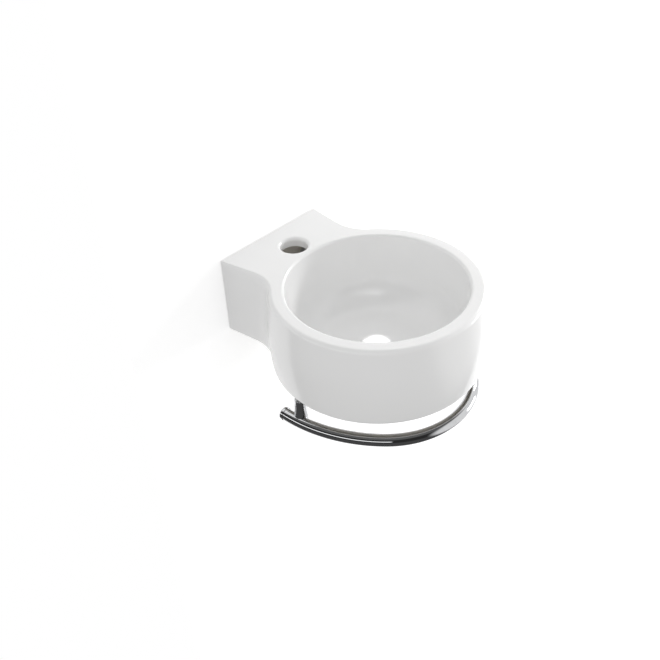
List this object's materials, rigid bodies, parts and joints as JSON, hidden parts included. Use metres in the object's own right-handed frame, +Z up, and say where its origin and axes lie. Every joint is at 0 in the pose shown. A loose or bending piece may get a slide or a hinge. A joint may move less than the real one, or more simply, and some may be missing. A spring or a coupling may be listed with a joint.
{
  "type": "wall hung basin",
  "caption": "Small round wall hung hand basin with a flat tap ledge, an open waste hole and a chromed towel rail curved round under the bowl.",
  "frame": {"origin": "on the wall plane, midway between the two wall fixings", "axes": "+Y into the wall, +Z up, +X to the right seen from the front"},
  "size_m": [0.2788, 0.3834, 0.152],
  "materials": {
    "ceramic": "white gloss glaze",
    "chrome": "bright chrome plate",
    "zinc_steel": "zinc plated steel",
    "nylon": "natural nylon",
    "gasket": "clear soft washer"
  },
  "bodies": {
    "root": {"basin": "ceramic", "towel_rail": "chrome", "rail_end_cap_left": "chrome", "rail_post_left": "chrome", "post_gasket_left": "gasket", "post_stud_left": "zinc_steel", "post_socket_plug_left": "nylon", "wall_stud_left": "zinc_steel", "wall_sleeve_left": "nylon", "wall_washer_left": "zinc_steel", "wall_nut_left": "zinc_steel", "rail_end_cap_right": "chrome", "rail_post_right": "chrome", "post_gasket_right": "gasket", "post_stud_right": "zinc_steel", "post_socket_plug_right": "nylon", "wall_stud_right": "zinc_steel", "wall_sleeve_right": "nylon", "wall_washer_right": "zinc_steel", "wall_nut_right": "zinc_steel"}
  },
  "joints": []
}
